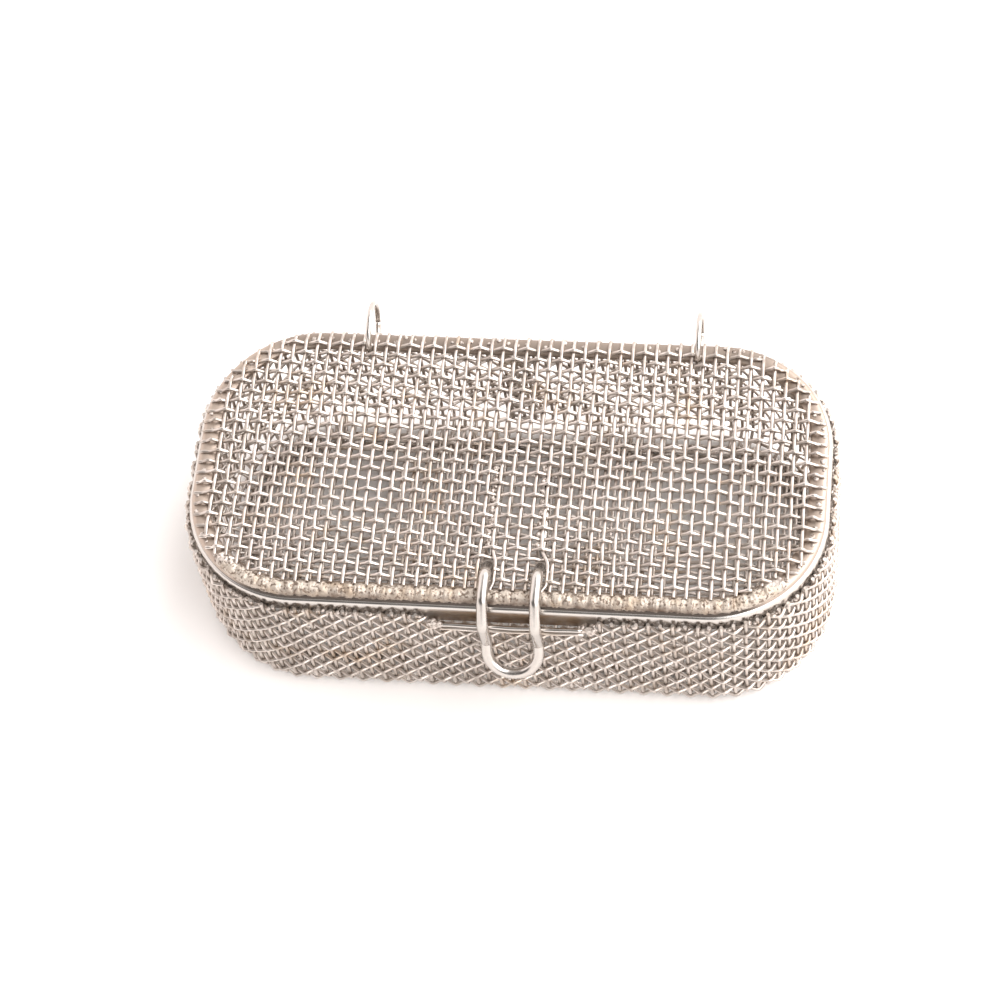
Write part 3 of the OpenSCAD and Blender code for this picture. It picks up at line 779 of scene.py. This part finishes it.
class MESHBASKET_OT_wall_welds(bpy.types.Operator):
    """Tack welds along the top of the wall mesh and on the floor, and the lumps that hold the catch wire"""

    bl_idname = "mesh_basket.wall_welds"
    bl_label = "Wall Welds"

    def execute(self, context):
        body, weave = settings().body, settings().weave
        pick = random.Random(5)
        low, high, _ = slot_edges()
        whole = perimeter(body.half_l, body.half_w, body.corner_r)
        spots = []
        for s, _ in upright_places():
            if low < from_front(s, whole) < high:
                continue
            for _ in range(pick.choice((1, 1, 2))):
                q = body.bend_z - body.mesh_top + pick.uniform(0.45, 1.05) * MM
                aside = pick.uniform(-0.5, 0.5) * weave.pitch
                place = wall_point(s + aside, q, pick.uniform(-0.25, 0.05) * MM)
                size = pick.uniform(0.15, 0.28) * MM
                spots.append((place, (size * pick.uniform(1.0, 1.7), size * pick.uniform(1.0, 1.5), size)))
        dress(lumps("wall_edge_tacks", spots, 2.0), "basket", "weld_metal", "wall_tack_welds")

        spots = []
        low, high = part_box("floor_tack_welds")
        row, end, z = high.y - TACK_IN, high.x - TACK_IN, body.floor_z - 0.2 * MM
        count = round(2 * end / (3 * weave.pitch))
        for i in range(count + 1):
            for side in (-1, 1):
                place = (-end + 2 * end * i / count, side * row, z)
                spots.append((place, (0.45 * MM, 0.42 * MM, 0.42 * MM)))
        dress(lumps("floor_tacks", spots, 9.0), "basket", "weld_metal", "floor_tack_welds")

        spots = []
        low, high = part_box("catch_welds")
        middle, out = (low + high) / 2, (high.x - low.x) / 2 - 0.7 * MM
        for side in (-1, 1):
            centre = Vector((middle.x + side * out, middle.y, middle.z))
            spots.append((centre, (0.85 * MM, 0.55 * MM, 0.5 * MM)))
            for _ in range(13):
                shift = (pick.uniform(-0.8, 0.8), pick.uniform(-0.4, 0.45), pick.uniform(-0.4, 0.45))
                at = centre + Vector(shift) * MM
                size = pick.uniform(0.16, 0.36) * MM
                spots.append((at, (size * pick.uniform(1, 1.8), size, size)))
        dress(lumps("catch_wire_welds", spots, 4.0), "basket", "weld_metal", "catch_welds")
        return {"FINISHED"}


class MESHBASKET_OT_catch_wire(bpy.types.Operator):
    """The straight wire that the latch snaps under, and the cut edge of the wall mesh below it"""

    bl_idname = "mesh_basket.catch_wire"
    bl_label = "Catch Wire"

    def execute(self, context):
        latch = settings().latch
        y, z = (CATCH_LOW.y + CATCH_HIGH.y) / 2, (CATCH_LOW.z + CATCH_HIGH.z) / 2
        steps = 24
        route = []
        for k in range(steps + 1):
            x = CATCH_LOW.x + (CATCH_HIGH.x - CATCH_LOW.x) * k / steps
            route.append((x, y + 0.03 * MM * math.sin(k * 0.9), z + 0.05 * MM * math.sin(k * 0.37)))
        piece = wires("catch_wire_drawn", [route], latch.catch_d * 0.96, rounding=4)
        dress(piece, "basket", "latch_wire", "catch_wire")

        in_front, below = 0.1 * MM, 0.85 * MM
        edge = []
        for k, (x, y, z) in enumerate(route):
            edge.append((x, y - in_front, z - below + 0.04 * MM * math.sin(k * 0.6)))
        piece = wires("woven_cut_edge", [edge], settings().weave.wire, rounding=2)
        dress(piece, "basket", "mesh_wire", "wall_hoops")
        return {"FINISHED"}


class MESHBASKET_OT_lid_strip(bpy.types.Operator):
    """Flat strip that stiffens the edge of the lid, with a rounded upper outer edge"""

    bl_idname = "mesh_basket.lid_strip"
    bl_label = "Lid Strip"

    def execute(self, context):
        lid = settings().lid
        r, soft = lid.round_r, 0.1 * MM
        profile = [(-lid.strip_w, lid.strip_top - soft), (-lid.strip_w, lid.strip_low + soft)]
        profile += [(-lid.strip_w + soft, lid.strip_low), (-soft, lid.strip_low), (0.0, lid.strip_low + soft)]
        profile += arc(-r, lid.strip_top - r, r, 0, 90, steps=8) + [(-lid.strip_w + soft, lid.strip_top)]
        strip = swept("rounded_lid_strip", profile, lid.half_l, lid.half_w, lid.corner_r)
        dress(strip, "lid", "rim_steel", "lid_strip")
        return {"FINISHED"}


def strip_drop(x, y):
    """How far the rounded edge of the lid strip lies below its flat top at a place."""
    lid = settings().lid
    past_x = max(0.0, abs(x) - lid.half_l + lid.corner_r)
    past_y = max(0.0, abs(y) - lid.half_w + lid.corner_r)
    inside = max(0.0, lid.round_r - lid.corner_r + math.hypot(past_x, past_y))
    return lid.round_r - math.sqrt(max(0.0, lid.round_r**2 - inside**2))


def leg_places():
    """Place of each leg of the latch along the front."""
    latch = settings().latch
    return latch.middle - latch.span / 2, latch.middle + latch.span / 2


class MESHBASKET_OT_lid_mesh(bpy.types.Operator):
    """Woven lid: the weave opens round the latch legs, and its wire ends bend down on to the strip"""

    bl_idname = "mesh_basket.lid_mesh"
    bl_label = "Lid Mesh"

    def execute(self, context):
        lid, weave, latch = settings().lid, settings().weave, settings().latch
        pick = random.Random(23)
        radius, bow = weave.wire / 2, 0.25 * MM
        front_in = lid.weld_in + lid.weld_w + 0.02 * MM
        back_in = lid.bare_w + radius
        drop = lid.mesh_z - ROD_OFF - latch.ring_z
        hole_y = latch.ring_y - math.sqrt(((RING_HIGH.z - RING_LOW.z - latch.ring_d) / 2) ** 2 - drop**2)
        holes = (latch.ring_left_x, latch.ring_right_x)
        xs = lines(back_in - lid.half_l, lid.half_l - back_in)
        ys = lines(front_in + radius - lid.half_w, lid.half_w - back_in, start=hole_y)
        clear = latch.wire / 2 + 0.12 * MM + radius
        # From the front, the wires along dip under the latch, end beside its legs, and bow back behind them.
        dips_y, ends_y, bows_y, last_y = -17.2 * MM, -15.9 * MM, -14.1 * MM, -12.6 * MM

        def end_in(y):
            """How far inside the strip's outer edge the wires end, where they reach it at y."""
            edge = lid.half_w - lid.corner_r + (lid.corner_r - front_in) * math.cos(math.pi / 4) - radius
            return front_in - 0.35 * MM if y < -edge else lid.bare_w

        def tip(e):
            """How far a wire reaches past its last crossing, and under the long weld not at all."""
            return pick.uniform(0.85, 1.2) * MM if e == lid.bare_w else 0.0

        def spread(x, y):
            """How far a wire across is pushed aside by the latch legs."""
            near = ease(y, -18.6 * MM, -16.6 * MM) * (1 - ease(y, -14.2 * MM, -11.4 * MM))
            for leg in leg_places():
                gap = x - leg
                if abs(gap) < clear:
                    return math.copysign(clear - abs(gap), gap) * near
            return 0.0

        def settle(x, y):
            """How far the weave lies from a true grid, which it keeps where the rings pass through."""
            dx, dy = drift(x, y, seed=0.6)
            calm = min(1.0, min(math.hypot(x - hole, y - hole_y) for hole in holes) / (4 * MM))
            return dx * calm, dy * calm

        def rest(t, h, z, x, y):
            """Height of a wire that comes down on to the strip past the last crossing."""
            bend = 0.5 * MM
            down = ease(abs(t), h - bend, h + bend)
            return z + (lid.strip_top + SEAT - strip_drop(x, y) - z) * down

        along, across = [], []
        for j, y in ys.items():
            e = end_in(y)
            h = reach(y, lid.half_l - e, lid.half_w - e, lid.corner_r - e)

            def place(x, w, y=y, h=h, e=e):
                dx, dy = settle(x, y)
                z = lid.mesh_z + weave.long_crimp * w
                near = max(1 - ease(abs(x - leg), 0.5 * MM, 1.5 * MM) for leg in leg_places())
                if bows_y < y < last_y:
                    dy += bow * near
                if dips_y < y < ends_y:
                    z += (lid.strip_top + radius - z) * near
                if e == lid.bare_w:
                    z = rest(x, h, z, x, y)
                return Vector((x + dx, y + dy, z))

            pieces = [(-h - tip(e), h + tip(e))]
            if ends_y < y < bows_y:
                for leg in leg_places():
                    a, b = pieces.pop()
                    pieces += [(a, leg - clear + radius), (leg + clear - radius, b)]
            for a, b in pieces:
                met = {i: x for i, x in xs.items() if a - weave.pitch < x < b + weave.pitch and abs(x) < h}
                along.append(crimped(place, met, a, b, j, weave.steps))
        for i, x in xs.items():
            rear = reach(x, lid.half_w - lid.bare_w, lid.half_l - lid.bare_w, lid.corner_r - lid.bare_w)
            e = end_in(-rear)
            front = reach(x, lid.half_w - e, lid.half_l - e, lid.corner_r - e)
            met = {j: y for j, y in ys.items() if -front < y < rear}

            def place(y, w, x=x, rear=rear, front=front, e=e):
                dx, dy = settle(x, y)
                z = lid.mesh_z - weave.cross_crimp * w
                if y > 0:
                    z = rest(y, rear, z, x, y)
                elif e == lid.bare_w:
                    z = rest(y, front, z, x, y)
                return Vector((x + dx + spread(x, y), y + dy, z))

            start, end = -front - tip(e), rear + pick.uniform(0.85, 1.25) * MM
            across.append(crimped(place, met, start, end, i, weave.steps))
        dress(wires("woven_lid_along", along, weave.wire), "lid", "mesh_wire", "lid_long_wires")
        dress(wires("woven_lid_across", across, weave.wire), "lid", "mesh_wire", "lid_cross_wires")
        return {"FINISHED"}


class MESHBASKET_OT_lid_welds(bpy.types.Operator):
    """The grainy bead of weld along the front of the lid, and the tacks round its other edges"""

    bl_idname = "mesh_basket.lid_welds"
    bl_label = "Lid Welds"

    def execute(self, context):
        lid, weave = settings().lid, settings().weave
        pick = random.Random(17)
        inset = lid.weld_in + lid.weld_w / 2
        flat = lid.half_l - lid.corner_r
        span = flat + lid.corner_r * math.pi / 4
        steps = int(2 * span / (0.11 * MM))
        seat = lid.strip_top + SEAT
        route = []
        for k in range(steps + 1):
            s = -span + 2 * span * k / steps
            spot, way = around(s, lid.half_l, lid.half_w, lid.corner_r)
            route.append((spot.x - way.x * inset, spot.y - way.y * inset, seat))
        bead = wires("front_weld_bead", [route], lid.weld_w, rounding=6)
        height = lid.weld_h / (lid.weld_w / 2)
        for v in bead.data.vertices:
            up = v.co.z - seat
            coarse = noise.noise(v.co / (0.9 * MM))
            fine = noise.noise(v.co / (0.32 * MM) + Vector((9, 0, 0)))
            swell = 0.2 * coarse + 0.5 * fine + 0.16 * math.cos(2 * math.pi * v.co.x / weave.pitch)
            tall = max(-0.05 * MM, up * height * 0.82 * (1 + swell))
            v.co.z = lid.strip_top + tall - strip_drop(v.co.x, v.co.y)
            spread = 0.22 * MM * swell * (1 if up < 0.3 * MM else 0.3)
            v.co.y += -spread if v.co.y < -lid.half_w + inset else spread * 0.5
        bead.data.update()
        dress(bead, "lid", "weld_metal", "lid_front_weld")

        whole = perimeter(lid.half_l, lid.half_w, lid.corner_r)
        spots = []
        count = int((whole - 2 * span) / (weave.pitch * 0.8))
        for k in range(count):
            s = span + (whole - 2 * span) * (k + 0.5) / count
            if pick.random() < 0.3:
                continue
            spot, way = around(s, lid.half_l, lid.half_w, lid.corner_r)
            back = lid.bare_w - pick.uniform(-0.3, 0.7) * MM
            size = pick.uniform(0.16, 0.3) * MM
            place = (spot.x - way.x * back, spot.y - way.y * back, lid.strip_top + 0.02 * MM)
            spots.append((place, (size * 1.3, size * 1.3, size * 0.8)))
        dress(lumps("lid_edge_tacks", spots, 6.0), "lid", "weld_metal", "lid_tack_welds")
        return {"FINISHED"}


def filleted(points, radii, steps=7):
    """A line through points with its corners rounded."""
    line = [points[0]]
    for a, b, c, r in zip(points, points[1:], points[2:], radii):
        u, v = (a - b).normalized(), (c - b).normalized()
        half = math.acos(max(-1.0, min(1.0, u.dot(v)))) / 2
        cut = r / math.tan(half)
        centre = b + (u + v).normalized() * r / math.sin(half)
        p, q = (b + u * cut - centre).normalized(), (b + v * cut - centre).normalized()
        line += [centre + r * p.slerp(q, k / steps) for k in range(steps + 1)]
    return line + [points[-1]]


class MESHBASKET_OT_latch(bpy.types.Operator):
    """The latch: its two legs welded under the lid, the weld nuggets that hold them, and the sprung loop"""

    bl_idname = "mesh_basket.latch"
    bl_label = "Latch"

    def execute(self, context):
        body, lid, latch = settings().body, settings().lid, settings().latch
        pick = random.Random(3)
        front = -body.half_w
        arch_y, kink_y, kink_z = front - 2.15 * MM, front - 1.62 * MM, body.rim_top - 5.6 * MM
        tab = Vector((0.0, -2.36 * MM, -4.0 * MM))
        corners = [
            Vector((0, latch.flex_y, latch.leg_z)),
            Vector((0, latch.flex_y - 2.4 * MM, latch.arch_z)),
            Vector((0, front + 0.3 * MM, latch.arch_z)),
            Vector((0, arch_y, body.rim_top - 0.4 * MM)),
            Vector((0, kink_y, kink_z)),
            Vector((0, kink_y, kink_z)) + tab,
        ]
        side = filleted(corners, [1.4 * MM, 1.6 * MM, 1.6 * MM, 0.8 * MM])[:-1]
        radius, steps = latch.span / 2, 24
        way = tab.normalized()
        start = corners[4] + way * max(0.45 * MM, tab.length - radius)
        depth = tab.length - (start - corners[4]).length
        route = [p + Vector((latch.middle - radius, 0, 0)) for p in side]
        for k in range(steps + 1):
            a = math.pi * k / steps
            across = Vector((latch.middle - radius * math.cos(a), 0, 0))
            route.append(start + way * depth * math.sin(a) + across)
        route += [p + Vector((latch.middle + radius, 0, 0)) for p in reversed(side)]
        loop = wires("sprung_latch_loop", [route], latch.wire, rounding=6)
        dress(loop, "latch", "latch_wire", "latch_loop")

        for leg, node in zip(leg_places(), ("latch_leg_left", "latch_leg_right")):
            route = [(leg, latch.flex_y + 0.66 * MM, latch.leg_z), (leg, latch.leg_end, latch.leg_z)]
            piece = wires("bright_" + node, [route], latch.wire, rounding=6)
            dress(piece, "lid", "latch_wire", node)

        spots = []
        low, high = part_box("latch_leg_welds")
        back, reach_y = high.y - TACK_IN, high.y - low.y - 2 * TACK_IN
        openings = round(reach_y / settings().weave.pitch)
        for leg, opening in zip(leg_places(), (low.x + TACK_IN, high.x - TACK_IN)):
            x = opening + 0.35 * (leg - opening)
            for n in range(openings + 1):
                y = back - reach_y * n / openings
                spots.append(((x, y, lid.strip_top + 0.05 * MM), (0.46 * MM, 0.52 * MM, 0.4 * MM)))
                for _ in range(4 if n in (0, 4, openings) else 2):
                    at = (x + pick.uniform(-0.3, 0.3) * MM, y + pick.uniform(-0.35, 0.35) * MM)
                    size = pick.uniform(0.18, 0.34) * MM
                    z = lid.strip_top + pick.uniform(0.15, 0.4) * MM
                    spots.append(((*at, z), (size, size * 1.2, size)))
        dress(lumps("latch_leg_nuggets", spots, 7.0), "lid", "weld_metal", "latch_leg_welds")
        return {"FINISHED"}


class MESHBASKET_OT_hinge_rings(bpy.types.Operator):
    """The two wire rings that hinge the lid, each closed to a hair's breadth at its joint"""

    bl_idname = "mesh_basket.hinge_rings"
    bl_label = "Hinge Rings"

    def execute(self, context):
        latch = settings().latch
        r = (RING_HIGH.z - RING_LOW.z - latch.ring_d) / 2
        joint, turn, steps = -38, 358.4, 72
        for x, name in ((latch.ring_left_x, "left"), (latch.ring_right_x, "right")):
            ring = arc(latch.ring_y, latch.ring_z, r, joint, joint + turn, steps)
            route = [(x, y, z) for y, z in ring]
            piece = wires("wire_ring_" + name, [route], latch.ring_d, rounding=5)
            dress(piece, "ring_" + name, "ring_wire", "hinge_ring_" + name)
        return {"FINISHED"}


class MESHBASKET_OT_studio(bpy.types.Operator):
    """Plain pale floor, soft lights and the camera"""

    bl_idname = "mesh_basket.studio"
    bl_label = "Studio"

    def execute(self, context):
        studio = settings().studio
        bm = bmesh.new()
        bmesh.ops.create_grid(bm, x_segments=1, y_segments=1, size=1.5)
        floor = from_bmesh("studio_floor", bm, smooth=False)
        material = bpy.data.materials.new("matt_white_paper_sweep")
        node = partial(add, blank(material))
        place = node("TexCoord").outputs["Object"]
        cloud = node("TexNoise", {"Vector": place, "Scale": 9.0, "Detail": 1.0})
        rough = node("MapRange", (cloud, 0.3, 0.7, 0.85, 0.95))
        paper = {"Base Color": (*settings().finish.floor, 1), "Roughness": rough, "Specular IOR Level": 0.0}
        node("OutputMaterial", {"Surface": node("BsdfPrincipled", paper)})
        floor.data.materials.append(material)

        data = bpy.data.lights.new("soft_key_right", "AREA")
        data.shape, data.size, data.size_y, data.energy = "RECTANGLE", 1.1, 0.6, studio.key
        lamp = bpy.data.objects.new("soft_key_right", data)
        away = Vector((0.34, 0.0, 0.42))
        lamp.location = (away.x, 0.05, away.z)
        lamp.rotation_mode = "QUATERNION"
        lamp.rotation_quaternion = (-away).to_track_quat("-Z", "Y")
        context.scene.collection.objects.link(lamp)

        world = bpy.data.worlds.new("soft_surroundings")
        node = partial(add, blank(world))
        at = node("SeparateXYZ", [node("TexCoord").outputs["Generated"]]).outputs
        # The light of the sides falls off towards the ceiling, and it is darker high on the left.
        top = node("MapRange", (at["Z"], 0.72, 0.9, studio.sky, studio.ceiling))
        far_left = node("MapRange", (at["X"], -0.12, -0.3))
        steep = node("MapRange", (at["Z"], 0.74, 0.84, 0.0, 0.7))
        dim = node("Math", (far_left, steep), operation="MULTIPLY")
        patchy = node("MapRange", (dim, 0.0, 1.0, top, studio.dark))
        # Above the front it is dark, but not on the right. The wires mirror this part to the camera.
        front = node("MapRange", (at["Y"], -0.15, -0.45))
        above = node("MapRange", (at["Z"], 0.2, 0.42))
        wide = node("MapRange", (at["X"], 0.16, 0.36, 1.0, 0.0))
        both = node("Math", (front, above), operation="MULTIPLY")
        mask = node("Math", (both, wide), operation="MULTIPLY")
        strength = node("MapRange", (mask, 0.0, 1.0, patchy, studio.dark))
        # The light is a little rosier from the left.
        left = node("MapRange", (at["X"], 0.0, -0.9))
        warm, rosy = (1.0, 0.97, 0.95, 1), (1.0, 0.93, 0.91, 1)
        tone = node("Mix", {0: left, 6: warm, 7: rosy}, data_type="RGBA").outputs[2]
        node("OutputWorld", {"Surface": node("Background", {"Color": tone, "Strength": strength})})
        context.scene.world = world
        context.scene.view_settings.view_transform = "Standard"

        back = Vector(
            (
                math.sin(studio.turn) * math.cos(studio.rise),
                -math.cos(studio.turn) * math.cos(studio.rise),
                math.sin(studio.rise),
            )
        )
        right = Vector((math.cos(studio.turn), math.sin(studio.turn), 0.0))
        aim = Vector((-2.67 * MM, 2.8 * MM, 10.0 * MM))
        data = bpy.data.cameras.new("camera")
        data.lens, data.sensor_width = studio.lens, 36.0
        data.clip_start, data.clip_end = 0.01, 10.0
        camera = bpy.data.objects.new("camera", data)
        upright = Matrix((right, back.cross(right), back)).transposed().to_4x4()
        camera.matrix_world = (
            Matrix.Translation(aim + back * studio.distance) @ upright @ Matrix.Rotation(studio.roll, 4, "Z")
        )
        context.scene.collection.objects.link(camera)
        context.scene.camera = camera
        return {"FINISHED"}


STEPS = (
    MESHBASKET_OT_wall_mesh,
    MESHBASKET_OT_floor_mesh,
    MESHBASKET_OT_seam_lap,
    MESHBASKET_OT_rim,
    MESHBASKET_OT_wall_welds,
    MESHBASKET_OT_catch_wire,
    MESHBASKET_OT_lid_strip,
    MESHBASKET_OT_lid_mesh,
    MESHBASKET_OT_lid_welds,
    MESHBASKET_OT_latch,
    MESHBASKET_OT_hinge_rings,
    MESHBASKET_OT_studio,
)


class MESHBASKET_PT_panel(bpy.types.Panel):
    """Lists the steps that make the basket"""

    bl_idname = "MESHBASKET_PT_panel"
    bl_label = "Mesh Basket"
    bl_space_type = "VIEW_3D"
    bl_region_type = "UI"
    bl_category = "Mesh Basket"

    def draw(self, context):
        for step in STEPS:
            self.layout.operator(step.bl_idname)


GROUPS = (
    MeshBasketWeave,
    MeshBasketBody,
    MeshBasketLid,
    MeshBasketLatch,
    MeshBasketFinish,
    MeshBasketStudio,
    MeshBasketSettings,
)


CLASSES = (*GROUPS, *STEPS, MESHBASKET_PT_panel)


def register():
    for cls in CLASSES:
        bpy.utils.register_class(cls)
    bpy.types.Scene.mesh_basket = PointerProperty(type=MeshBasketSettings)


def unregister():
    del bpy.types.Scene.mesh_basket
    for cls in reversed(CLASSES):
        bpy.utils.unregister_class(cls)


def main():
    """Makes the whole basket and its studio."""
    register()
    for step in STEPS:
        space, name = step.bl_idname.split(".")
        getattr(getattr(bpy.ops, space), name)()
    bpy.context.view_layer.update()


if __name__ == "__main__":
    main()
